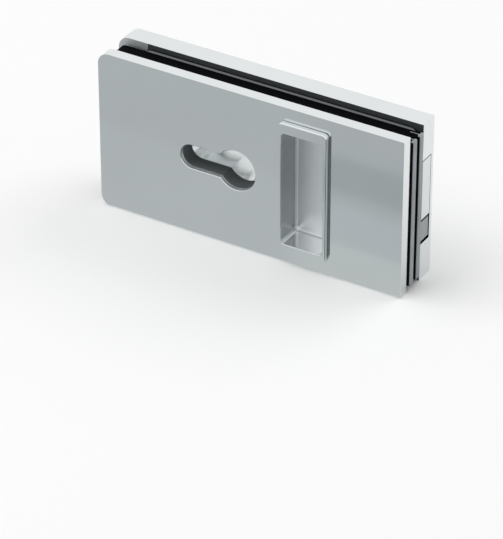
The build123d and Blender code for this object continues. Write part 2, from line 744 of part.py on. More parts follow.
def detent_spring():
    t = SPRING_THICKNESS
    roof = z_spring_roof
    flank = SLIDE_TOP + 0.3
    nib = SLIDE_TOP - DETENT_NOTCH_DEPTH + 0.4
    half = SPRING_HALF_LENGTH
    low = [
        (-half, roof - t),
        (-half + 2.5, roof - t),
        (-2.4, flank),
        (-1.1, flank),
        (0, nib),
        (1.1, flank),
        (2.4, flank),
        (half - 2.5, roof - t),
        (half, roof - t),
    ]
    high = [(x, z + t) for x, z in low]
    high[4] = (0, nib + 1.3 * t)
    points = [(DETENT_X + x, z) for x, z in low + high[::-1]]
    y0 = y_slide_in + (SLIDE_THICKNESS - SPRING_WIDTH) / 2
    return prism_y(points, y0, y0 + SPRING_WIDTH)


# Screws

def cover_grub_screws():
    z_head = -half_height + GRUB_INSET
    z_tip = -z_cover_rim + SLACK + GRUB_BITE
    screws = []
    for x in lug_x:
        screw = rod_z(x, y_lug_mid, GRUB_R, z_head, z_tip)
        screws.append(screw - hex_z(x, y_lug_mid, GRUB_KEY, z_head, z_head + GRUB_R))
    return solids_of(screws)


def core_screws():
    y_seat = y_cover_in + LOW_HEAD + HEAD_SPARE
    y_tip = y_body_in + SCREW_BITE
    size = (M4_R, M4_HEAD_R, M4_KEY)
    return solids_of([cap_screw(x, z, y_seat, -LOW_HEAD, y_tip, size) for x, z in core_screw_spots])


def rosette_screws():
    y_seat = y_body_in + ROSETTE_HEAD + GAP
    y_tip = y_rosette_web - ROSETTE_TIP_GAP
    size = (M3_R, M3_HEAD_R, M3_KEY)
    return solids_of([cap_screw(x, z, y_seat, -ROSETTE_HEAD, y_tip, size) for x, z in rosette_screw_spots])


def bar_screws():
    y_seat = y_body_in + BAR_HEAD + GAP
    y_tip = y_body_out + BAR_BITE
    size = (M4_R, M4_HEAD_R, M4_KEY)
    return solids_of([cap_screw(bar_x, z, y_seat, -BAR_HEAD, y_tip, size) for z in (-z_bar_screw, z_bar_screw)])


def cylinder_screw():
    x = -LEG_REACH
    y = y_cylinder_screw
    z_head = z_cylinder_head - CYLINDER_HEAD
    screw = rod_z(x, y, M5_R, z_cylinder_head, -leg_wall_r + CYLINDER_SCREW_BITE)
    screw += rod_z(x, y, M5_HEAD_R, z_head, z_cylinder_head)
    return screw - hex_z(x, y, M5_KEY, z_head, z_head + 0.6 * CYLINDER_HEAD)


PIECES = {
    "body_plate": body_plate,
    "cover_plate": cover_plate,
    "core_block": core_block,
    "mechanism_cover": mechanism_cover,
    "core_backing": core_backing,
    "cylinder_sleeve": cylinder_sleeve,
    "rosette": rosette,
    "bar_handle": bar_handle,
    "flush_pull": flush_pull,
    "pull_clamp_ring": pull_clamp_ring,
    "edge_strip_cover_side": lambda: edge_strip(-1),
    "edge_strip_body_side": lambda: edge_strip(1),
    "hook_bolt": hook_bolt,
    "hook_guard": hook_guard,
    "guard_rivet": guard_rivet,
    "hook_pivot_pin": hook_pivot_pin,
    "hook_bushing": hook_bushing,
    "pivot_spacer": pivot_spacer,
    "hook_drive_pin": hook_drive_pin,
    "drive_slide": drive_slide,
    "slide_studs": slide_studs,
    "detent_spring": detent_spring,
    "cover_grub_screws": cover_grub_screws,
    "core_screws": core_screws,
    "rosette_screws": rosette_screws,
    "bar_screws": bar_screws,
    "cylinder_screw": cylinder_screw,
}

for name, make in PIECES.items():
    export_step(make(), os.path.join("parts", name + ".step"))
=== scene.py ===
"""Sliding door lock for a glass door: the visible pieces and their finishes."""

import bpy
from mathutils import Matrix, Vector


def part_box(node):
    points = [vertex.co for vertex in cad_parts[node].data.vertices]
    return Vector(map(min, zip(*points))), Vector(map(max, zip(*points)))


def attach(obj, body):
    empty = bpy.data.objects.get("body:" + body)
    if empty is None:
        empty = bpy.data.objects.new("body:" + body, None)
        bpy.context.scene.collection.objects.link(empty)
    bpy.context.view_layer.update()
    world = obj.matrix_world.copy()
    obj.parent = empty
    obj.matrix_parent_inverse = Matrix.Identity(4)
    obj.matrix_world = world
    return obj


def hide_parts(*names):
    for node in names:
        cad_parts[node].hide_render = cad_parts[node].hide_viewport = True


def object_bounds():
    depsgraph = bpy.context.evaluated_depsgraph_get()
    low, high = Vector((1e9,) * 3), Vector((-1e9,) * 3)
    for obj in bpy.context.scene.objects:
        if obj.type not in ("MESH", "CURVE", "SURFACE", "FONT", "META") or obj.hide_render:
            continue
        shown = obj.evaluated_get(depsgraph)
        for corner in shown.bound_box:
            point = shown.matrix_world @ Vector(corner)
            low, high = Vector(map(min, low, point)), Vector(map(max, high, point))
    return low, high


bl_info = {
    "name": "Sliding door lock",
    "version": (1, 0, 0),
    "blender": (4, 5, 0),
    "location": "3D View > Sidebar > Door lock",
    "description": "Builds the plates, handles, strips and finishes of a sliding door lock",
    "category": "Add Mesh",
}

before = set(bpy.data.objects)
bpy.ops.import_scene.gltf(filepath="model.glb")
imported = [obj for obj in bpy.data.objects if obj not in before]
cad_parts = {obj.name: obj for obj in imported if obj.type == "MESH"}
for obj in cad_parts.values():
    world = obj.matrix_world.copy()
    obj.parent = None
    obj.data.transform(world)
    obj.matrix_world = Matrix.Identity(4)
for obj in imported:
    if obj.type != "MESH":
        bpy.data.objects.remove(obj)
cad_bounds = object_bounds()

import math

import bmesh
import bpy
from bpy.props import FloatProperty, FloatVectorProperty, IntProperty, PointerProperty
from mathutils import Matrix, Vector

MM = 0.001
SAME_PLACE = 1e-7
SAME_LEVEL = 1e-6
# The least cosine of the angle between two directions that count as one.
SAME_WAY = 0.99
# Edges that bend by less are shaded smooth, and edges that bend by more make a rim.
SMOOTH_LIMIT = math.radians(50.0)
SHARP_LIMIT = 1.0


# Shapes. A ring is the low x, high x, low z and high z of a rectangle.


def cad_box(node):
    """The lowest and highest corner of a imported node, as two vectors."""
    low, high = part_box(node)
    return low.copy(), high.copy()


def outline(low, high, left=0.0, right=0.0, bottom=0.0, top=0.0):
    """The ring round a box, drawn in on each side."""
    return low.x + left, high.x - right, low.z + bottom, high.z - top


def rounded_loop(bm, ring, y, left_radius, right_radius, segments):
    """A closed loop of edges in the XZ plane, with its left and right corners rounded."""
    x0, x1, z0, z1 = ring
    corners = [bm.verts.new((x, y, z)) for x, z in ((x0, z0), (x1, z0), (x1, z1), (x0, z1))]
    face = bm.faces.new(corners)
    middle = (x0 + x1) / 2
    for side, radius in ((-1, left_radius), (1, right_radius)):
        if radius <= 0:
            continue
        bmesh.ops.bevel(
            bm,
            geom=[v for v in face.verts if (v.co.x - middle) * side > 0 and v in corners],
            offset=radius,
            segments=segments,
            profile=0.5,
            affect="VERTICES",
            material=-1,
        )
        face = bm.faces[:][0]
    edges = list(face.edges)
    bmesh.ops.delete(bm, geom=[face], context="FACES_ONLY")
    return edges


def grown(ring, y, inset, radius):
    """A ring drawn in by an inset, with its Y and its corner radius."""
    x0, x1, z0, z1 = ring
    return (x0 + inset, x1 - inset, z0 + inset, z1 - inset), y, radius


def rounding(ring, y, radius, corner, steps, outward):
    """Rings along a quarter circle. Outward gives the sign of the rise in Y."""
    rings = []
    for step in range(steps + 1):
        angle = math.radians(90.0 * step / steps)
        rise = radius * math.sin(angle)
        rings.append(grown(ring, y + outward * rise, radius * (1 - math.cos(angle)), corner))
    return rings


def ring_stack(bm, rings, segments):
    """Skins a stack of rings, each with its Y and its corner radius."""
    loops = [rounded_loop(bm, ring, y, radius, radius, segments) for ring, y, radius in rings]
    for index in range(1, len(rings)):
        pair = loops[index - 1] + loops[index]
        rise = rings[index][1] - rings[index - 1][1]
        if abs(rise) < SAME_PLACE:
            fill(bm, pair)
        else:
            bmesh.ops.bridge_loops(bm, edges=pair)
    return loops


def arc(bm, start, centre, degrees, steps):
    """Spins one vertex about Y. Gives the new edges and the last vertex."""
    before = set(bm.edges)
    result = bmesh.ops.spin(
        bm,
        geom=[start],
        cent=centre,
        axis=(0, 1, 0),
        angle=math.radians(degrees),
        steps=steps,
        use_merge=False,
    )
    last = [g for g in result["geom_last"] if isinstance(g, bmesh.types.BMVert)][0]
    return [e for e in bm.edges if e not in before], last


def keyhole_loop(bm, sizes, y):
    """The keyhole's outline: the plug's round part and the leg with its round end."""
    radius = sizes.plug_radius
    half = sizes.leg_half_width
    reach = sizes.leg_reach
    throat = -math.sqrt(radius * radius - half * half)
    opening = math.degrees(2 * math.asin(half / radius))
    first = bm.verts.new((throat, y, half))
    plug, plug_end = arc(bm, first, (0, y, 0), 360 - opening, sizes.round_steps)
    second = bm.verts.new((-reach, y, -half))
    end, leg_end = arc(bm, second, (-reach, y, 0), 180, sizes.round_steps // 2)
    sides = [bm.edges.new((plug_end, second)), bm.edges.new((leg_end, first))]
    return plug + end + sides


def fill(bm, edges):
    """Flat faces between closed loops, with the inner loops left open."""
    made = bmesh.ops.triangle_fill(bm, use_beauty=True, use_dissolve=False, edges=edges)
    return [g for g in made["geom"] if isinstance(g, bmesh.types.BMFace)]


def push(bm, faces, depth, keep=False):
    """Extrudes faces along Y and gives the moved faces. Keep leaves the first faces as the back."""
    made = bmesh.ops.extrude_face_region(bm, geom=faces)
    verts = [g for g in made["geom"] if isinstance(g, bmesh.types.BMVert)]
    bmesh.ops.translate(bm, verts=verts, vec=(0, depth, 0))
    moved = [g for g in made["geom"] if isinstance(g, bmesh.types.BMFace)]
    if not keep:
        bmesh.ops.delete(bm, geom=[f for f in faces if f.is_valid], context="FACES")
    return moved


def deepen_rim(bm, faces, hollow, depth):
    """Extrudes the faces that lie outside a hollow's ring."""
    x0, x1, z0, z1 = hollow
    rim_faces = []
    for face in faces:
        middle = face.calc_center_median()
        if not (x0 < middle.x < x1 and z0 < middle.z < z1):
            rim_faces.append(face)
    push(bm, rim_faces, depth)
    bmesh.ops.recalc_face_normals(bm, faces=bm.faces[:])


def rim(bm, y, where=lambda middle: True):
    """The sharp edges that lie at one height of Y."""
    picked = []
    for edge in bm.edges:
        level = all(abs(v.co.y - y) < SAME_LEVEL for v in edge.verts)
        if level and edge.calc_face_angle(0.0) > SHARP_LIMIT:
            if where((edge.verts[0].co + edge.verts[1].co) / 2):
                picked.append(edge)
    return picked


def by_outline(low, high):
    """A test for points near the outline of a plate."""
    near = 2 * MM
    return lambda p: min(p.x - low.x, high.x - p.x, p.z - low.z, high.z - p.z) < near


def soften(bm, edges, radius, segments):
    """Rounds edges, or chamfers them with one segment."""
    if edges and radius > 0:
        bmesh.ops.bevel(
            bm,
            geom=edges,
            offset=radius,
            segments=segments,
            profile=0.5,
            affect="EDGES",
            material=-1,
            clamp_overlap=True,
        )


def block(bm, low, high):
    """A box between two corners."""
    place = Matrix.Translation((low + high) / 2) @ Matrix.Diagonal((*(high - low), 1.0))
    bmesh.ops.create_cube(bm, size=1.0, matrix=place)


def faces_facing(bm, direction):
    """The flat faces that look one way."""
    return [f for f in bm.faces if f.normal.dot(Vector(direction)) > SAME_WAY]


def even_normals(mesh):
    """Keeps flats flat in the shading, so that only their roundings bend.

    A flat weighs as much as its whole area.
    """
    planes = []
    for face in mesh.polygons:
        direction = tuple(round(c, 3) for c in face.normal)
        planes.append((direction, round(face.normal.dot(face.center), 6)))
    areas = dict.fromkeys(planes, 0.0)
    around = [[] for vertex in mesh.vertices]
    for face, plane in zip(mesh.polygons, planes):
        areas[plane] += face.area
        for vertex in face.vertices:
            around[vertex].append(face)
    normals = []
    for face in mesh.polygons:
        for vertex in face.vertices:
            total = Vector((0, 0, 0))
            for other in around[vertex]:
                if other.normal.angle(face.normal, math.pi) < SMOOTH_LIMIT:
                    total += other.normal * areas[planes[other.index]]
            normals.append(total.normalized())
    mesh.normals_split_custom_set(normals)


def finish_piece(bm, name, body, material, replaced):
    """Makes the piece's object, shades it, and hands it to the frame."""
    bmesh.ops.remove_doubles(bm, verts=bm.verts[:], dist=SAME_PLACE)
    bmesh.ops.recalc_face_normals(bm, faces=bm.faces[:])
    for face in bm.faces:
        face.smooth = True
    for edge in bm.edges:
        edge.smooth = edge.calc_face_angle(math.pi) < SMOOTH_LIMIT
    mesh = bpy.data.meshes.new(name)
    bm.to_mesh(mesh)
    bm.free()
    piece = bpy.data.objects.new(name, mesh)
    bpy.context.scene.collection.objects.link(piece)
    mesh.materials.append(material)
    even_normals(mesh)
    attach(piece, body)
    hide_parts(*replaced)


def dress(nodes, material):
    """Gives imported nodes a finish."""
    for name in nodes:
        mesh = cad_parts[name].data
        mesh.materials.clear()
        mesh.materials.append(material)


# Finishes

# How a grain is stretched, and how many cells of each noise lie along a metre.
EVEN = (1, 1, 1)
BRUSHED_ALONG = (0.06, 1, 1)
BRUSHED_UPRIGHT = (1, 1, 0.06)
GROUND_UPRIGHT = (1, 1, 0.1)
METAL_CLOUDS = 28.0
METAL_WEAR = 90.0
METAL_GRAIN = 2600.0
PLASTIC_CLOUDS = 60.0
# Where most of a noise's values lie, and how far the grain moves a metal's roughness.
NOISE_MIDDLE = (0.3, 0.7)
GRAIN_ROUGHNESS = 0.015


def feed(tree, socket, value):
    """Links a socket to another one, or gives it a plain value."""
    if isinstance(value, bpy.types.NodeSocket):
        tree.links.new(value, socket)
    else:
        socket.default_value = value


def calculate(tree, operation, *values):
    """A math node on sockets and numbers."""
    node = tree.nodes.new("ShaderNodeMath")
    node.operation = operation
    for socket, value in zip(node.inputs, values):
        feed(tree, socket, value)
    return node.outputs["Value"]


def rescale(tree, source, start, end, low=0.0, high=1.0, interpolation="LINEAR"):
    """Maps one range to another, and holds it at both ends."""
    node = tree.nodes.new("ShaderNodeMapRange")
    node.interpolation_type = interpolation
    for name, value in (("From Min", start), ("From Max", end), ("To Min", low), ("To Max", high)):
        node.inputs[name].default_value = value
    tree.links.new(source, node.inputs["Value"])
    return node.outputs["Result"]


def spread(tree, source, low, high):
    """Maps the middle of a noise to a range."""
    return rescale(tree, source, *NOISE_MIDDLE, low, high)


def blend(tree, kind, factor, first, second):
    """A value or colour between two, by a factor."""
    node = tree.nodes.new("ShaderNodeMix")
    node.data_type = kind
    tree.links.new(factor, node.inputs["Factor"])
    feed(tree, node.inputs["A"], first)
    feed(tree, node.inputs["B"], second)
    return node.outputs["Result"]


def opaque(colour, tone=1.0):
    """A colour at another tone, with its alpha."""
    return (*(min(1.0, c * tone) for c in colour), 1.0)


def new_material(name):
    """A material with its tree and shader, and a coordinate node that follows the object."""
    material = bpy.data.materials.new(name)
    material.use_nodes = True
    tree = material.node_tree
    tree.nodes.new("ShaderNodeTexCoord")
    return material, tree, tree.nodes["Principled BSDF"]


def object_place(tree):
    """The object's own coordinates."""
    return tree.nodes["Texture Coordinate"].outputs["Object"]


def noise(tree, scale, detail, stretch=EVEN):
    """A noise in the object's own coordinates, stretched along an axis for a grain."""
    mapping = tree.nodes.new("ShaderNodeMapping")
    mapping.inputs["Scale"].default_value = stretch
    texture = tree.nodes.new("ShaderNodeTexNoise")
    texture.inputs["Scale"].default_value = scale
    texture.inputs["Detail"].default_value = detail
    texture.inputs["Roughness"].default_value = 0.55
    tree.links.new(object_place(tree), mapping.inputs["Vector"])
    tree.links.new(mapping.outputs["Vector"], texture.inputs["Vector"])
    return texture.outputs["Fac"]


def inside(tree, low, high):
    """One inside a box of the object's own coordinates, and zero outside."""
    split = tree.nodes.new("ShaderNodeSeparateXYZ")
    tree.links.new(object_place(tree), split.inputs["Vector"])
    tests = []
    for place, start, end in zip(split.outputs, low, high):
        tests.append(calculate(tree, "COMPARE", place, (start + end) / 2, (end - start) / 2))
    across = calculate(tree, "MULTIPLY", tests[0], tests[1])
    return calculate(tree, "MULTIPLY", across, tests[2])


def change_inside(material, socket, kind, low, high, value):
    """Another value of one of the shader's sockets inside a box."""
    tree = material.node_tree
    target = tree.nodes["Principled BSDF"].inputs[socket]
    before = target.links[0].from_socket
    changed = blend(tree, kind, inside(tree, low, high), before, value)
    tree.links.new(changed, target)


def paint_inside(material, low, high, colour):
    """Another base colour inside a box of the object's own coordinates."""
    change_inside(material, "Base Color", "RGBA", low, high, opaque(colour))


def roughen_inside(material, low, high, roughness):
    """Another roughness inside a box of the object's own coordinates."""
    change_inside(material, "Roughness", "FLOAT", low, high, roughness)


def add_bump(tree, shader, height, strength, distance):
    """Fine relief from a height."""
    bump = tree.nodes.new("ShaderNodeBump")
    bump.inputs["Strength"].default_value = strength
    bump.inputs["Distance"].default_value = distance
    tree.links.new(height, bump.inputs["Height"])
    tree.links.new(bump.outputs["Normal"], shader.inputs["Normal"])


def metal(name, colour, roughness, grain=EVEN, cloud=0.04, relief=0.04):
    """Metal with soft clouds in its tone, a fine grain, and roughness that varies with both."""
    material, tree, shader = new_material(name)
    shader.inputs["Metallic"].default_value = 1.0
    shader.inputs["Anisotropic"].default_value = 0.2
    clouds = spread(tree, noise(tree, METAL_CLOUDS, detail=4.0), 0.0, 1.0)
    fine = noise(tree, METAL_GRAIN, detail=2.0, stretch=grain)
    wear = noise(tree, METAL_WEAR, detail=5.0)
    worn = spread(tree, wear, roughness * 0.88, roughness * 1.1)
    tone = blend(tree, "RGBA", clouds, opaque(colour, 1.0 - cloud), opaque(colour, 1.0 + cloud))
    tree.links.new(tone, shader.inputs["Base Color"])
    ground = spread(tree, fine, -GRAIN_ROUGHNESS, GRAIN_ROUGHNESS)
    tree.links.new(calculate(tree, "ADD", worn, ground), shader.inputs["Roughness"])
    add_bump(tree, shader, fine, relief, distance=0.02 * MM)
    return material


def plastic(name, colour, roughness, grain_scale, relief, specular):
    """Moulded plastic or rubber with a fine spark-eroded grain."""
    material, tree, shader = new_material(name)
    shader.inputs["Specular IOR Level"].default_value = specular
    clouds = spread(tree, noise(tree, PLASTIC_CLOUDS, detail=3.0), 0.0, 1.0)
    fine = noise(tree, grain_scale, detail=2.0)
    tone = blend(tree, "RGBA", clouds, opaque(colour, 0.88), opaque(colour, 1.12))
    tree.links.new(tone, shader.inputs["Base Color"])
    varied = spread(tree, fine, roughness * 0.9, roughness * 1.1)
    tree.links.new(varied, shader.inputs["Roughness"])
    add_bump(tree, shader, fine, relief, distance=0.03 * MM)
    return material


def shared(name, make, *values, **finish):
    """One material under a name, made the first time it is asked for."""
    return bpy.data.materials.get(name) or make(name, *values, **finish)


def satin_steel(name, looks, grain):
    """Satin steel of the plates and handles, brushed one way."""
    return metal(name, looks.satin_colour, looks.satin_roughness, grain, cloud=0.02)


def plate_steel(name, sizes, looks):
    """Satin steel round the keyhole, whose wall the cutter leaves coarser than the faces."""
    finish = satin_steel(name, looks, BRUSHED_ALONG)
    front, _ = cad_box("cover_plate")
    _, back = cad_box("rosette")
    around = 0.1 * MM
    half = sizes.plug_radius + around
    reach = sizes.leg_reach + sizes.leg_half_width + around
    low = (-reach, front.y + sizes.keyhole_break, -half)
    high = (half, back.y - sizes.keyhole_break, half)
    roughen_inside(finish, low, high, looks.wall_roughness)
    return finish


def keyhole_satin(sizes, looks):
    """The finish that the cover plate and the rosette share."""
    return shared("plate_satin", plate_steel, sizes, looks)


def bright_steel(looks):
    """The finish that the bolt, the pins and the spring share."""
    return shared(
        "polished_steel",
        metal,
        looks.bolt_colour,
        roughness=0.22,
        grain=GROUND_UPRIGHT,
        cloud=0.03,
    )


# Sizes and looks


class LockSizes(bpy.types.PropertyGroup):
    """Sizes of the pieces that this file builds."""

    plug_radius: FloatProperty(
        name="Plug radius",
        description="Radius of the keyhole's round part",
        default=8.75 * MM,
        unit="LENGTH",
    )
    leg_half_width: FloatProperty(
        name="Leg half width",
        description="Half the width of the keyhole's leg",
        default=5.25 * MM,
        unit="LENGTH",
    )
    leg_reach: FloatProperty(
        name="Leg reach",
        description="From the plug's axis to the leg's round end",
        default=20.0 * MM,
        unit="LENGTH",
    )
    round_steps: IntProperty(
        name="Round steps",
        description="Steps round the keyhole's plug",
        default=56,
        min=16,
        max=128,
    )
    keyhole_break: FloatProperty(
        name="Keyhole chamfer",
        description="Chamfer round the keyhole",
        default=0.4 * MM,
        unit="LENGTH",
    )
    edge_radius: FloatProperty(
        name="Edge radius",
        description="Rounding of the plates' outer edges",
        default=0.35 * MM,
        unit="LENGTH",
    )
    plate_corner: FloatProperty(
        name="Plate corner",
        description="Radius of the plates' two inner corners",
        default=5.0 * MM,
        unit="LENGTH",
    )
    plate_web: FloatProperty(
        name="Plate web",
        description="Thickness of the cover plate over its pocket",
        default=2.0 * MM,
        unit="LENGTH",
    )
    cover_rim: FloatProperty(
        name="Cover rim",
        description="Width of the cover plate's thick rim",
        default=4.5 * MM,
        unit="LENGTH",
    )
    cover_inner_rim: FloatProperty(
        name="Cover inner rim",
        description="Width of the thick rim at the inner end",
        default=13.0 * MM,
        unit="LENGTH",
    )
    rosette_corner: FloatProperty(
        name="Rosette corner",
        description="Radius of the rosette's corners",
        default=3.0 * MM,
        unit="LENGTH",
    )
    rosette_wall: FloatProperty(
        name="Rosette wall",
        description="Wall and web of the rosette",
        default=1.9 * MM,
        unit="LENGTH",
    )
    bar_foot_inset: FloatProperty(
        name="Bar foot inset",
        description="How far the bar's foot stands back",
        default=0.4 * MM,
        unit="LENGTH",
    )
    bar_foot_height: FloatProperty(
        name="Bar foot height",
        description="Height of the bar's foot",
        default=0.35 * MM,
        unit="LENGTH",
    )
    pull_side: FloatProperty(
        name="Pull side border",
        description="Width of the pull frame's sides",
        default=1.5 * MM,
        unit="LENGTH",
    )
    pull_top: FloatProperty(
        name="Pull top border",
        description="Width of the pull frame's top",
        default=4.6 * MM,
        unit="LENGTH",
    )
    pull_bottom: FloatProperty(
        name="Pull bottom border",
        description="Width of the pull frame's bottom",
        default=3.7 * MM,
        unit="LENGTH",
    )
    pull_wall: FloatProperty(
        name="Pull wall",
        description="Wall of the pull's cup",
        default=0.8 * MM,
        unit="LENGTH",
    )
    pull_frame_edge: FloatProperty(
        name="Pull frame edge",
        description="Rounding of the pull frame",
        default=0.7 * MM,
        unit="LENGTH",
    )
    pull_corner: FloatProperty(
        name="Pull corner",
        description="Radius of the pull frame's corners",
        default=1.9 * MM,
        unit="LENGTH",
    )
    pull_floor_radius: FloatProperty(
        name="Pull floor radius",
        description="Rounding at the cup's floor",
        default=1.1 * MM,
        unit="LENGTH",
    )
    pull_lip_radius: FloatProperty(
        name="Pull lip radius",
        description="Rounding at the cup's mouth",
        default=0.3 * MM,
        unit="LENGTH",
    )
    contact_groove: FloatProperty(
        name="Contact groove",
        description="Fine groove where a raised part meets its plate",
        default=0.25 * MM,
        unit="LENGTH",
    )
    # Painted shade: the width of the black band on the guard's end, in the slit beside the bolt.
    guard_shade_band: FloatProperty(
        name="Guard seam",
        description="Dark seam between the guard and the bolt",
        default=1.2 * MM,
        unit="LENGTH",
    )
    strip_edge: FloatProperty(
        name="Strip edge",
        description="Rounding of the edge strips",
        default=0.6 * MM,
        unit="LENGTH",
    )


class LockLooks(bpy.types.PropertyGroup):
    """Colours and finishes."""

    satin_colour: FloatVectorProperty(
        name="Satin steel",
        description="Colour of the plates and handles",
        default=(0.755, 0.785, 0.79),
        subtype="COLOR",
    )
    satin_roughness: FloatProperty(
        name="Satin roughness",
        description="Softness of the plates' reflections",
        default=0.1,
        min=0.0,
        max=1.0,
        subtype="FACTOR",
    )
    wall_roughness: FloatProperty(
        name="Keyhole wall roughness",
        description="Softness of the reflections in the keyhole's wall",
        default=0.5,
        min=0.0,
        max=1.0,
        subtype="FACTOR",
    )
    # Painted light: a lighter copy of the satin inside the pull's cup.
    cup_lit_colour: FloatVectorProperty(
        name="Cup",
        description="Colour inside the pull's cup",
        default=(0.83, 0.855, 0.86),
        subtype="COLOR",
    )
    # Painted shade: a darker copy of the satin on the cup's left wall.
    flank_shade_colour: FloatVectorProperty(
        name="Cup's flank",
        description="Colour of the cup's left wall",
        default=(0.58, 0.605, 0.61),
        subtype="COLOR",
    )
    cup_roughness: FloatProperty(
        name="Cup roughness",
        description="Softness of the reflections in the cup",
        default=0.2,
        min=0.0,
        max=1.0,
        subtype="FACTOR",
    )
    fillet_roughness: FloatProperty(
        name="Fillet roughness",
        description="Roughness of the fillet at the cup's foot",
        default=0.45,
        min=0.0,
        max=1.0,
        subtype="FACTOR",
    )
    back_roughness: FloatProperty(
        name="Back roughness",
        description="Roughness of the cup's back wall",
        default=0.38,
        min=0.0,
        max=1.0,
        subtype="FACTOR",
    )
    inner_face_roughness: FloatProperty(
        name="Inner face roughness",
        description="Roughness of the body plate's inner face",
        default=0.65,
        min=0.0,
        max=1.0,
        subtype="FACTOR",
    )
    # Painted shade: the inner face is painted dark where the mechanism cover lies before it,
    # standing in for the dark gap it mirrors.
    inner_face_shade_colour: FloatVectorProperty(
        name="Inner face",
        description="Colour of the body plate's inner face",
        default=(0.13, 0.14, 0.145),
        subtype="COLOR",
    )
    # Painted shade: the near-black of the body plate's pockets and of the groove at the pull's
    # foot.
    painted_shade_colour: FloatVectorProperty(
        name="Pockets",
        description="Colour of the darkened pockets",
        default=(0.012, 0.013, 0.014),
        subtype="COLOR",
    )
    sleeve_colour: FloatVectorProperty(
        name="Sleeve",
        description="Colour of the cylinder sleeve",
        default=(0.68, 0.71, 0.715),
        subtype="COLOR",
    )
    # Partly painted shade: the core's near-black goes past a moulding's black to stand for the
    # shade in the glass gap, and it also paints the shade on the strips' flanks, the guard's end
    # and the mechanism cover's back.
    black_and_shade_colour: FloatVectorProperty(
        name="Core",
        description="Colour of the black core",
        default=(0.0015, 0.0017, 0.002),
        subtype="COLOR",
    )
    # Painted light: a lighter copy of the core's black round the keyhole, where light comes in.
    collar_lit_colour: FloatVectorProperty(
        name="Collar",
        description="Colour of the core's collar in the keyhole",
        default=(0.13, 0.145, 0.15),
        subtype="COLOR",
    )
    ground_edge_colour: FloatVectorProperty(
        name="Ground edge",
        description="Colour of the dark plate's ground edge",
        default=(0.16, 0.17, 0.172),
        subtype="COLOR",
    )
    strip_colour: FloatVectorProperty(
        name="Edge strips",
        description="Colour of the strips' outer face",
        default=(0.3, 0.325, 0.34),
        subtype="COLOR",
    )
    bolt_colour: FloatVectorProperty(
        name="Bolt",
        description="Colour of the hook bolt",
        default=(0.7, 0.725, 0.73),
        subtype="COLOR",
    )
    guard_colour: FloatVectorProperty(
        name="Guard",
        description="Colour of the grey guard in the slot",
        default=(0.36, 0.375, 0.385),
        subtype="COLOR",
    )
    zinc_colour: FloatVectorProperty(
        name="Zinc",
        description="Colour of the zinc-plated parts",
        default=(0.5, 0.52, 0.54),
        subtype="COLOR",
    )
    bronze_colour: FloatVectorProperty(
        name="Bronze",
        description="Colour of the bearings",
        default=(0.62, 0.44, 0.22),
        subtype="COLOR",
    )
    screw_colour: FloatVectorProperty(
        name="Screws",
        description="Colour of the blackened screws",
        default=(0.05, 0.05, 0.055),
        subtype="COLOR",
    )
    floor_colour: FloatVectorProperty(
        name="Floor",
        description="Colour of the studio floor",
        default=(0.96, 0.96, 0.96),
        subtype="COLOR",
    )


def settings(context):
    """The sizes and the looks that every operator reads."""
    return context.scene.lock_sizes, context.scene.lock_looks


# Pieces


class LOCK_OT_cover_plate(bpy.types.Operator):
    """Thin plate with the keyhole, the window for the flush pull and a pocket behind."""

    bl_idname = "lock.cover_plate"
    bl_label = "Cover plate"

    def execute(self, context):
        sizes, looks = settings(context)
        low, high = cad_box("cover_plate")
        edge = sizes.cover_rim
        pocket_corner = 2 * MM
        pocket_ring = outline(low, high, sizes.cover_inner_rim, edge, edge, edge)
        bm = bmesh.new()
        outer = rounded_loop(bm, outline(low, high), low.y, sizes.plate_corner, 0, segments=12)
        pocket = rounded_loop(bm, pocket_ring, low.y, pocket_corner, 0, segments=6)
        window = rounded_loop(bm, self.window(sizes), low.y, 0, 0, segments=1)
        keyhole = keyhole_loop(bm, sizes, low.y)
        border = fill(bm, outer + pocket)
        web = fill(bm, pocket + window + keyhole)
        back = push(bm, border + web, sizes.plate_web, keep=True)
        deepen_rim(bm, back, pocket_ring, high.y - low.y - sizes.plate_web)
        beside = MM
        reach = sizes.leg_reach + sizes.leg_half_width + beside
        half = sizes.plug_radius + beside
        hole = rim(bm, low.y, lambda p: -reach < p.x < half and abs(p.z) < half)
        soften(bm, hole, sizes.keyhole_break, segments=1)
        soften(bm, rim(bm, low.y, by_outline(low, high)), sizes.edge_radius, segments=3)
        satin = keyhole_satin(sizes, looks)
        finish_piece(bm, "cover_plate_front", "lock_body", satin, ["cover_plate"])
        return {"FINISHED"}

    def window(self, sizes):
        """The opening that the pull's cup goes through."""
        low, high = cad_box("flush_pull")
        clearance = 0.3 * MM
        cup = sizes.pull_wall + clearance
        side = sizes.pull_side - cup
        return outline(low, high, side, side, sizes.pull_bottom - cup, sizes.pull_top - cup)


class LOCK_OT_body_plate(bpy.types.Operator):
    """Thick plate that holds the mechanism."""

    bl_idname = "lock.body_plate"
    bl_label = "Body plate"

    def execute(self, context):
        _, looks = settings(context)
        low, high = cad_box("body_plate")
        finish = satin_steel("satin_steel_body", looks, BRUSHED_ALONG)
        rim_width = 0.8 * MM
        web = 1.9 * MM
        # The pockets get painted shade, a skin or a film short of the faces round them.
        skin = 0.1 * MM
        film = 0.05 * MM
        pocket_low = (low.x + rim_width, low.y + skin, low.z + rim_width)
        pocket_high = (high.x - skin, high.y - web - film, high.z - rim_width)
        paint_inside(finish, pocket_low, pocket_high, looks.painted_shade_colour)
        face_end = Vector((high.x, low.y + film, high.z + MM))
        face_start = low - Vector((MM, MM, MM))
        roughen_inside(finish, face_start, face_end, looks.inner_face_roughness)
        # Where the mechanism cover lies before it, the inner face is painted dark: painted shade
        # standing in for the gap it mirrors.
        cover_low, _ = cad_box("mechanism_cover")
        cover_margin = 0.3 * MM
        covered = Vector((cover_low.x + cover_margin, face_start.y, face_start.z))
        paint_inside(finish, covered, face_end, looks.inner_face_shade_colour)
        dress(["body_plate"], finish)
        return {"FINISHED"}


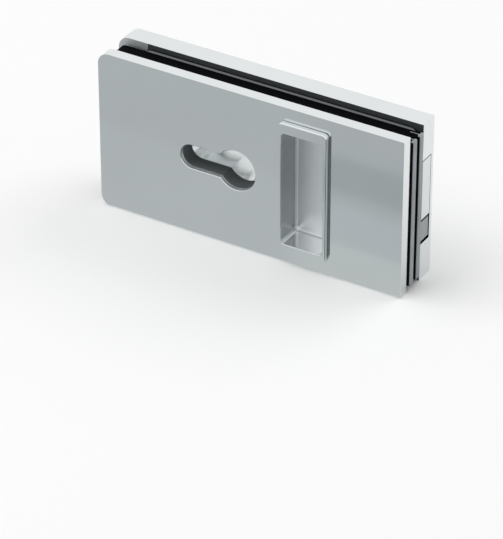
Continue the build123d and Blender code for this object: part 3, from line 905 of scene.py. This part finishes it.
class LOCK_OT_rosette(bpy.types.Operator):
    """Square raised shell round the keyhole."""

    bl_idname = "lock.rosette"
    bl_label = "Rosette"

    def execute(self, context):
        sizes, looks = settings(context)
        low, high = cad_box("rosette")
        wall = sizes.rosette_wall
        corner = sizes.rosette_corner
        keyhole_edge = 0.12 * MM
        hollow_ring = outline(low, high, wall, wall, wall, wall)
        bm = bmesh.new()
        outer = rounded_loop(bm, outline(low, high), high.y, corner, corner, segments=10)
        inner = corner - wall
        hollow = rounded_loop(bm, hollow_ring, high.y, inner, inner, segments=4)
        keyhole = keyhole_loop(bm, sizes, high.y)
        border = fill(bm, outer + hollow)
        web = fill(bm, hollow + keyhole)
        back = push(bm, border + web, -wall, keep=True)
        deepen_rim(bm, back, hollow_ring, low.y - high.y + wall)
        soften(bm, rim(bm, high.y, by_outline(low, high)), sizes.edge_radius, segments=3)
        soften(bm, rim(bm, high.y), keyhole_edge, segments=1)
        satin = keyhole_satin(sizes, looks)
        finish_piece(bm, "rosette_shell", "lock_body", satin, ["rosette"])
        return {"FINISHED"}


class LOCK_OT_bar_handle(bpy.types.Operator):
    """Square bar on a slightly smaller foot."""

    bl_idname = "lock.bar_handle"
    bl_label = "Bar handle"

    def execute(self, context):
        sizes, looks = settings(context)
        low, high = cad_box("bar_handle")
        bar_edge = 0.28 * MM
        downwards = (0, -1, 0)
        bm = bmesh.new()
        block(bm, low + Vector((0, sizes.bar_foot_height, 0)), high)
        bmesh.ops.recalc_face_normals(bm, faces=bm.faces[:])
        foot = faces_facing(bm, downwards)
        soften(bm, [e for e in bm.edges if e not in foot[0].edges], bar_edge, segments=3)
        foot = faces_facing(bm, downwards)
        bmesh.ops.inset_region(
            bm, faces=foot, thickness=sizes.bar_foot_inset, depth=0.0, use_even_offset=True
        )
        centre = (low + high) / 2
        foot = min(
            faces_facing(bm, downwards), key=lambda f: (f.calc_center_median() - centre).xz.length
        )
        push(bm, [foot], -sizes.bar_foot_height)
        satin = satin_steel("upright_satin", looks, BRUSHED_UPRIGHT)
        finish_piece(bm, "bar_handle_grip", "lock_body", satin, ["bar_handle"])
        return {"FINISHED"}


class LOCK_OT_flush_pull(bpy.types.Operator):
    """Raised frame with a deep cup for the fingertips."""

    bl_idname = "lock.flush_pull"
    bl_label = "Flush pull"

    def execute(self, context):
        sizes, looks = settings(context)
        low, high = cad_box("flush_pull")
        side = sizes.pull_side
        mouth = outline(low, high, side, side, sizes.pull_bottom, sizes.pull_top)
        plate_low, _ = cad_box("cover_plate")
        bm = bmesh.new()
        rings = self.rings(sizes, low, high, mouth, plate_low.y)
        loops = ring_stack(bm, rings, segments=5)
        bmesh.ops.contextual_create(bm, geom=loops[0])
        bmesh.ops.contextual_create(bm, geom=loops[-1])
        satin = self.finish(sizes, looks, low, high, mouth, plate_low.y)
        finish_piece(bm, "flush_pull_cup", "lock_body", satin, ["flush_pull"])
        return {"FINISHED"}

    def rings(self, sizes, low, high, mouth, seat):
        """From the cup's back, round the frame and through its mouth to the cup's floor."""
        outer = outline(low, high)
        wall = sizes.pull_wall
        lip = sizes.pull_lip_radius
        lip_steps = 4
        edge = sizes.pull_frame_edge
        groove = sizes.contact_groove
        groove_slope = 0.3 * groove
        deep = sizes.pull_floor_radius
        frame_corner = sizes.pull_corner
        mouth_corner = 1.5 * MM
        cup_corner = 1.6 * MM
        back_corner = 1.2 * MM
        back_break = 0.5 * MM
        rings = [
            grown(mouth, high.y, back_break - wall, back_corner),
            grown(mouth, high.y - back_break, -wall, cup_corner),
            grown(mouth, seat, -wall, cup_corner),
            grown(outer, seat, groove, frame_corner),
            grown(outer, seat - groove, groove, frame_corner),
            grown(outer, seat - groove - groove_slope, 0.0, frame_corner),
        ]
        rings += rounding(outer, low.y + edge, edge, frame_corner, steps=6, outward=-1)
        for step in range(lip_steps + 1):
            angle = math.radians(90.0 * step / lip_steps)
            out = lip * (1 - math.sin(angle))
            rings.append(grown(mouth, low.y + lip * (1 - math.cos(angle)), -out, mouth_corner))
        foot = high.y - wall - deep
        return rings + rounding(mouth, foot, deep, mouth_corner, steps=8, outward=1)

    def finish(self, sizes, looks, low, high, mouth, seat):
        """Satin, with painted shade in the groove round the frame's foot, and a coarser cup.

        The inside of the cup is painted lighter than the frame, as painted light, and its left wall
        darker, as painted shade; the fillet at its foot and its back each differ a little in
        roughness.
        """
        satin = satin_steel("pull_satin", looks, BRUSHED_UPRIGHT)
        around = Vector((MM, 0, MM))
        groove_low = Vector((low.x, seat - sizes.contact_groove, low.z)) - around
        groove_high = Vector((high.x, seat, high.z)) + around
        # The groove round the frame's foot is painted near-black: painted shade where the frame
        # meets the plate.
        paint_inside(satin, groove_low, groove_high, looks.painted_shade_colour)
        x0, x1, z0, z1 = grown(mouth, 0, -sizes.pull_wall / 2, 0)[0]
        mouth_end = low.y + sizes.pull_lip_radius
        floor = high.y - sizes.pull_wall
        deep = sizes.pull_floor_radius
        film = 0.03 * MM
        # The flank's painted shade ends halfway up the fillet. The rougher finish starts just
        # before it.
        flank_end = floor - 0.5 * deep
        fillet_start = floor - 1.2 * deep
        cup_low, cup_high = (x0, mouth_end, z0), (x1, high.y, z1)
        # The inside of the cup is painted lighter than the frame: painted light.
        paint_inside(satin, cup_low, cup_high, looks.cup_lit_colour)
        # The cup's left wall is painted darker: painted shade.
        paint_inside(satin, cup_low, (mouth[0] + film, flank_end, z1), looks.flank_shade_colour)
        roughen_inside(satin, cup_low, cup_high, looks.cup_roughness)
        fillet_low, fillet_high = (x0, fillet_start, z0), (x1, floor - film, z1)
        roughen_inside(satin, fillet_low, fillet_high, looks.fillet_roughness)
        roughen_inside(satin, (x0, floor - film, z0), cup_high, looks.back_roughness)
        return satin


class LOCK_OT_edge_strips(bpy.types.Operator):
    """Two grey strips along the door edge, each with a rounded lip and a foot."""

    bl_idname = "lock.edge_strips"
    bl_label = "Edge strips"

    def execute(self, context):
        sizes, looks = settings(context)
        grey = self.finish(sizes, looks)
        _, core_high = cad_box("core_block")
        foot_inset = 0.6 * MM
        foot_width = 1.2 * MM
        for node in ("edge_strip_cover_side", "edge_strip_body_side"):
            low, high = cad_box(node)
            bm = bmesh.new()
            block(bm, Vector((core_high.x, low.y, low.z)), high)
            bmesh.ops.recalc_face_normals(bm, faces=bm.faces[:])
            lip = [e for e in bm.edges if all(v.co.x > high.x - SAME_LEVEL for v in e.verts)]
            soften(bm, lip, sizes.strip_edge, segments=5)
            foot = low.y + foot_inset if low.y > 0 else high.y - foot_inset - foot_width
            foot_high = Vector((core_high.x, foot + foot_width, high.z))
            block(bm, Vector((low.x, foot, low.z)), foot_high)
            finish_piece(bm, node + "_lip", "lock_body", grey, [node])
        return {"FINISHED"}

    def finish(self, sizes, looks):
        """Grey on the outer face, and black on the flanks as painted shade, since they lie in the
        gap.
        """
        grey = plastic(
            "grey_strip",
            looks.strip_colour,
            roughness=0.5,
            grain_scale=3200.0,
            relief=0.1,
            specular=0.15,
        )
        _, plate_high = cad_box("body_plate")
        low, high = cad_box("edge_strip_body_side")
        end = 0.2 * MM
        grey_border = 0.45 * sizes.strip_edge
        flank_low = (low.x - MM, -plate_high.y, low.z + end)
        flank_high = (high.x - grey_border, plate_high.y, high.z - end)
        # The flanks are painted black: painted shade in the gap between the plates.
        paint_inside(grey, flank_low, flank_high, looks.black_and_shade_colour)
        return grey


class LOCK_OT_gap_layers(bpy.types.Operator):
    """Black core and the two dark plates in the glass gap."""

    bl_idname = "lock.gap_layers"
    bl_label = "Gap layers"

    def execute(self, context):
        sizes, looks = settings(context)
        # The core, the backing and the mechanism cover take this near-black, partly their moulding
        # and partly painted shade for the depth of the gap.
        black = looks.black_and_shade_colour
        low, high = cad_box("core_block")
        core = plastic("black_core", black, 0.45, grain_scale=2400.0, relief=0.15, specular=0.01)
        # The collar round the keyhole is painted lighter than the black core: painted light where
        # the keyhole lets light in.
        collar_wall = 2 * MM
        reach = sizes.leg_reach + sizes.leg_half_width + collar_wall
        around = sizes.plug_radius + collar_wall
        collar_low, collar_high = (-reach, low.y, -around), (around, high.y, around)
        paint_inside(core, collar_low, collar_high, looks.collar_lit_colour)
        dress(["core_block"], core)
        low, high = cad_box("mechanism_cover")
        sheet_finish = {"roughness": 0.5, "grain_scale": 1800.0, "relief": 0.1}
        cover = plastic("dark_cover", black, specular=0.06, **sheet_finish)
        # The cover is painted its ground grey except for a seam at its back, which stays black:
        # painted shade where the cover meets the body plate.
        seam = 0.7 * MM
        ground_low = (low.x, low.y - MM, low.z - MM)
        ground_high = (high.x, high.y - seam, high.z + MM)
        paint_inside(cover, ground_low, ground_high, looks.ground_edge_colour)
        dress(["mechanism_cover"], cover)
        dress(["core_backing"], plastic("black_backing", black, specular=0.01, **sheet_finish))
        return {"FINISHED"}


class LOCK_OT_cylinder_sleeve(bpy.types.Operator):
    """Metal sleeve inside the keyhole."""

    bl_idname = "lock.cylinder_sleeve"
    bl_label = "Cylinder sleeve"

    def execute(self, context):
        _, looks = settings(context)
        colour = looks.sleeve_colour
        sleeve = metal("machined_sleeve", colour, roughness=0.2, cloud=0.01, relief=0.02)
        dress(["cylinder_sleeve"], sleeve)
        return {"FINISHED"}


class LOCK_OT_hook_bolt(bpy.types.Operator):
    """Hook bolt, its guard and its bearings."""

    bl_idname = "lock.hook_bolt"
    bl_label = "Hook bolt"

    def execute(self, context):
        sizes, looks = settings(context)
        dress(["hook_bolt"], bright_steel(looks))
        low, high = cad_box("hook_guard")
        guard = metal(
            "grey_guard", looks.guard_colour, roughness=0.45, grain=GROUND_UPRIGHT, cloud=0.05
        )
        # The guard's end next to the bolt is painted black: painted shade in the slit between them.
        around = Vector((MM, MM, 0))
        seam_shade_low = Vector((low.x, low.y, high.z - sizes.guard_shade_band)) - around
        paint_inside(guard, seam_shade_low, high + around, looks.black_and_shade_colour)
        dress(["hook_guard"], guard)
        dress(["guard_rivet", "hook_pivot_pin", "hook_drive_pin"], bright_steel(looks))
        bronze = metal("bronze", looks.bronze_colour, roughness=0.35, cloud=0.08)
        dress(["hook_bushing", "pivot_spacer"], bronze)
        return {"FINISHED"}


class LOCK_OT_drive(bpy.types.Operator):
    """Slide, its studs, the leaf spring and the pull's clamp ring."""

    bl_idname = "lock.drive"
    bl_label = "Drive"

    def execute(self, context):
        _, looks = settings(context)
        rolled = (0.1, 1, 1)
        zinc = metal("zinc_plate", looks.zinc_colour, roughness=0.38, grain=rolled, cloud=0.08)
        dress(["drive_slide", "pull_clamp_ring"], zinc)
        dress(["slide_studs", "detent_spring"], bright_steel(looks))
        return {"FINISHED"}


class LOCK_OT_fixings(bpy.types.Operator):
    """Blackened socket screws."""

    bl_idname = "lock.fixings"
    bl_label = "Fixings"

    def execute(self, context):
        _, looks = settings(context)
        screws = [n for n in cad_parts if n.endswith(("_screws", "_screw"))]
        blackened = metal("blackened_screw", looks.screw_colour, roughness=0.42, cloud=0.1)
        dress(screws, blackened)
        return {"FINISHED"}


# Stage. Lengths are in metres and angles in degrees.

VIEW_PLACE = (0.57877, -0.97336, 0.68673)
VIEW_AZIMUTH = 30.681
VIEW_ELEVATION = 33.099
VIEW_ROLL = -0.009
SENSOR_WIDTH = 36.0
LENS = 226.28
FLOOR_REACH = 6.0
FLOOR_CLOUDS = 6.0
CARD_REACH = 0.9
CARD_LIFT = 0.5 * MM
FRONT_GAP = 0.2 * MM
WHITE = (1, 1, 1, 1)
AMBIENT_STRENGTH = 0.55
SEEN_STRENGTH = 1.0
LAMPS = (
    # Name, place, width and power
    ("key", (-0.7, -0.6, 1.7), 1.6, 17.0),
    ("back", (0.8, 1.2, 1.5), 1.4, 10.0),
)
# The card's tones by Y, near the pull's side of the plate and near the keyhole's side.
CARD_SPAN = (-0.11, -0.008)
BANDED_TONES = (
    (-0.105, (0.498, 0.518, 0.529)),
    (-0.0925, (0.49, 0.515, 0.527)),
    (-0.0865, (0.404, 0.436, 0.446)),
    (-0.0687, (0.404, 0.436, 0.446)),
    (-0.0625, (0.472, 0.499, 0.509)),
    (-0.0529, (0.53, 0.553, 0.571)),
    (-0.034, (0.539, 0.561, 0.577)),
    (-0.029, (0.59, 0.618, 0.618)),
    (-0.012, (0.607, 0.628, 0.625)),
)
PLAIN_TONES = (
    (-0.105, (0.515, 0.539, 0.549)),
    (-0.068, (0.519, 0.539, 0.549)),
    (-0.058, (0.539, 0.561, 0.577)),
    (-0.01, (0.55, 0.572, 0.582)),
)
FAR_GREY = (0.54, 0.56, 0.57)
# How far the card's borders move along X for each metre along Y, and where they lie.
CARD_SLANT = -0.597
BANDS_START = (0.026, 0.042)
BANDS_END = (0.22, 0.32)


def bare_tree(owner):
    """The node tree of a material or a world, emptied."""
    owner.use_nodes = True
    owner.node_tree.nodes.clear()
    return owner.node_tree


def glowing(tree, colour):
    """An emission of a plain colour, or of one from a socket."""
    glow = tree.nodes.new("ShaderNodeEmission")
    feed(tree, glow.inputs["Color"], colour)
    return glow.outputs["Emission"]


def ramp(tree, source, span, stops):
    """A colour ramp whose stops are given in the source's own units."""
    start, end = span
    node = tree.nodes.new("ShaderNodeValToRGB")
    elements = node.color_ramp.elements
    for place, colour in stops:
        elements.new((place - start) / (end - start)).color = opaque(colour)
    elements.remove(elements[-1])
    elements.remove(elements[0])
    tree.links.new(rescale(tree, source, start, end), node.inputs["Fac"])
    return node.outputs["Color"]


def mask(tree, source, span):
    """A soft step from zero to one."""
    return rescale(tree, source, *span, interpolation="SMOOTHSTEP")


def seen_rays(tree):
    """One where a ray comes from the camera, a reflection or through glass."""
    path = tree.nodes.new("ShaderNodeLightPath").outputs
    first = calculate(tree, "MAXIMUM", path["Is Camera Ray"], path["Is Glossy Ray"])
    return calculate(tree, "MAXIMUM", first, path["Is Transmission Ray"])


def one_way(name, colour):
    """An even colour seen from a sheet's front. From the back the sheet is clear."""
    material = bpy.data.materials.new(name)
    tree = bare_tree(material)
    clear = tree.nodes.new("ShaderNodeBsdfTransparent")
    side = tree.nodes.new("ShaderNodeNewGeometry")
    mix = tree.nodes.new("ShaderNodeMixShader")
    out = tree.nodes.new("ShaderNodeOutputMaterial")
    tree.links.new(side.outputs["Backfacing"], mix.inputs["Fac"])
    tree.links.new(glowing(tree, opaque(colour)), mix.inputs[1])
    tree.links.new(clear.outputs["BSDF"], mix.inputs[2])
    tree.links.new(mix.outputs["Shader"], out.inputs["Surface"])
    return material


def card_tones():
    """Bands that the plate mirrors beyond the pull, plainer tones before it, and grey far out."""
    material = bpy.data.materials.new("grey_card")
    tree = bare_tree(material)
    tree.nodes.new("ShaderNodeTexCoord")
    split = tree.nodes.new("ShaderNodeSeparateXYZ")
    tree.links.new(object_place(tree), split.inputs["Vector"])
    x, y = split.outputs["X"], split.outputs["Y"]
    across = calculate(tree, "MULTIPLY_ADD", y, CARD_SLANT, x)
    plain = ramp(tree, y, CARD_SPAN, PLAIN_TONES)
    banded = ramp(tree, y, CARD_SPAN, BANDED_TONES)
    tones = blend(tree, "RGBA", mask(tree, across, BANDS_START), plain, banded)
    tones = blend(tree, "RGBA", mask(tree, across, BANDS_END), tones, opaque(FAR_GREY))
    out = tree.nodes.new("ShaderNodeOutputMaterial")
    tree.links.new(glowing(tree, tones), out.inputs["Surface"])
    return material


def sheet(name, corners, material):
    """A flat sheet of the stage."""
    bm = bmesh.new()
    bm.faces.new([bm.verts.new(corner) for corner in corners])
    mesh = bpy.data.meshes.new(name)
    bm.to_mesh(mesh)
    bm.free()
    mesh.materials.append(material)
    made = bpy.data.objects.new(name, mesh)
    bpy.context.scene.collection.objects.link(made)
    return made


def level_corners(reach, near, far, level):
    """The corners of a level rectangle, as wide to both sides as its reach."""
    return (-reach, far, level), (reach, far, level), (reach, near, level), (-reach, near, level)


def reflections_only(made):
    """Hides a sheet from all but reflections."""
    made.visible_camera = False
    made.visible_diffuse = False
    made.visible_shadow = False
    made.visible_transmission = False


class LOCK_OT_stage(bpy.types.Operator):
    """Pale floor, soft studio light, what the steel mirrors, and the camera."""

    bl_idname = "lock.stage"
    bl_label = "Stage"

    def execute(self, context):
        _, looks = settings(context)
        self.floor(looks)
        self.card()
        self.flags()
        self.world()
        self.lamps()
        self.camera()
        context.scene.view_settings.view_transform = "Standard"
        return {"FINISHED"}

    def floor(self, looks):
        """A matt floor with the faintest clouds."""
        material, tree, shader = new_material("studio_floor")
        shader.inputs["Roughness"].default_value = 0.9
        shader.inputs["Specular IOR Level"].default_value = 0.1
        colour = looks.floor_colour
        clouds = noise(tree, FLOOR_CLOUDS, detail=3.0)
        tone = blend(tree, "RGBA", clouds, opaque(colour, 0.995), opaque(colour))
        tree.links.new(tone, shader.inputs["Base Color"])
        corners = level_corners(FLOOR_REACH, FLOOR_REACH, -FLOOR_REACH, cad_bounds[0].z)
        sheet("studio_floor", corners, material)

    def card(self):
        """A grey card on the floor in front of the cover plate, which only reflections see."""
        plate_low, _ = cad_box("cover_plate")
        near = plate_low.y - FRONT_GAP
        far = plate_low.y - CARD_REACH
        corners = level_corners(CARD_REACH, near, far, cad_bounds[0].z + CARD_LIFT)
        reflections_only(sheet("grey_card", corners, card_tones()))

    def flags(self):
        """Two small dark flags beside the flush pull, which show in its walls."""
        low, high = cad_box("flush_pull")
        bottom = low.z
        near = low.y - FRONT_GAP
        for name, x, length, top, colour in (
            # Name, place along X, length along Y, top and colour
            ("mouth_flag", high.x - 4.6 * MM, 12 * MM, 9 * MM, (0.02, 0.023, 0.025)),
            ("side_flag", high.x + 2 * MM, 6 * MM, high.z - 3 * MM, (0.14, 0.15, 0.155)),
        ):
            far = near - length
            corners = ((x, far, bottom), (x, far, top), (x, near, top), (x, near, bottom))
            reflections_only(sheet(name, corners, one_way(name, colour)))

    def world(self):
        """White where it is seen, and weaker where it lights."""
        world = bpy.data.worlds.new("studio")
        bpy.context.scene.world = world
        tree = bare_tree(world)
        mix = tree.nodes.new("ShaderNodeMixShader")
        out = tree.nodes.new("ShaderNodeOutputWorld")
        tree.links.new(seen_rays(tree), mix.inputs["Fac"])
        for socket, strength in ((1, AMBIENT_STRENGTH), (2, SEEN_STRENGTH)):
            light = tree.nodes.new("ShaderNodeBackground")
            light.inputs["Color"].default_value = WHITE
            light.inputs["Strength"].default_value = strength
            tree.links.new(light.outputs["Background"], mix.inputs[socket])
        tree.links.new(mix.outputs["Shader"], out.inputs["Surface"])

    def lamps(self):
        """Two soft lamps, which reflections don't see."""
        for name, place, size, power in LAMPS:
            data = bpy.data.lights.new(name, "AREA")
            data.shape = "SQUARE"
            data.size = size
            data.energy = power
            lamp = bpy.data.objects.new(name, data)
            lamp.location = place
            lamp.rotation_mode = "QUATERNION"
            lamp.rotation_quaternion = (-Vector(place)).to_track_quat("-Z", "Y")
            lamp.visible_glossy = False
            bpy.context.scene.collection.objects.link(lamp)

    def camera(self):
        """The photograph's place and lens."""
        data = bpy.data.cameras.new("photo_view")
        data.sensor_width = SENSOR_WIDTH
        data.lens = LENS
        data.clip_start = 0.1
        data.clip_end = 30.0
        azimuth = math.radians(VIEW_AZIMUTH)
        elevation = math.radians(VIEW_ELEVATION)
        level = math.cos(elevation)
        back = Vector((math.sin(azimuth) * level, -math.cos(azimuth) * level, math.sin(elevation)))
        turn = (-back).to_track_quat("-Z", "Y").to_matrix().to_4x4()
        roll = Matrix.Rotation(math.radians(VIEW_ROLL), 4, "Z")
        camera = bpy.data.objects.new("photo_view", data)
        camera.matrix_world = Matrix.Translation(VIEW_PLACE) @ turn @ roll
        bpy.context.scene.collection.objects.link(camera)
        bpy.context.scene.camera = camera


class LOCK_PT_panel(bpy.types.Panel):
    """Lists the pieces and the sizes and looks they use."""

    bl_idname = "LOCK_PT_panel"
    bl_label = "Door lock"
    bl_space_type = "VIEW_3D"
    bl_region_type = "UI"
    bl_category = "Door lock"

    def draw(self, context):
        column = self.layout.column(align=True)
        for operator in OPERATORS:
            column.operator(operator.bl_idname)
        for group in settings(context):
            column.separator()
            for name in group.__annotations__:
                column.prop(group, name)


OPERATORS = (
    LOCK_OT_stage,
    LOCK_OT_cover_plate,
    LOCK_OT_body_plate,
    LOCK_OT_rosette,
    LOCK_OT_bar_handle,
    LOCK_OT_flush_pull,
    LOCK_OT_edge_strips,
    LOCK_OT_gap_layers,
    LOCK_OT_cylinder_sleeve,
    LOCK_OT_hook_bolt,
    LOCK_OT_drive,
    LOCK_OT_fixings,
)
CLASSES = (LockSizes, LockLooks, *OPERATORS, LOCK_PT_panel)


def register():
    for cls in CLASSES:
        bpy.utils.register_class(cls)
    bpy.types.Scene.lock_sizes = PointerProperty(type=LockSizes)
    bpy.types.Scene.lock_looks = PointerProperty(type=LockLooks)


def unregister():
    del bpy.types.Scene.lock_looks
    del bpy.types.Scene.lock_sizes
    for cls in reversed(CLASSES):
        bpy.utils.unregister_class(cls)


def main():
    register()
    bpy.ops.lock.stage()
    bpy.ops.lock.cover_plate()
    bpy.ops.lock.body_plate()
    bpy.ops.lock.rosette()
    bpy.ops.lock.bar_handle()
    bpy.ops.lock.flush_pull()
    bpy.ops.lock.edge_strips()
    bpy.ops.lock.gap_layers()
    bpy.ops.lock.cylinder_sleeve()
    bpy.ops.lock.hook_bolt()
    bpy.ops.lock.drive()
    bpy.ops.lock.fixings()


if __name__ == "__main__":
    main()
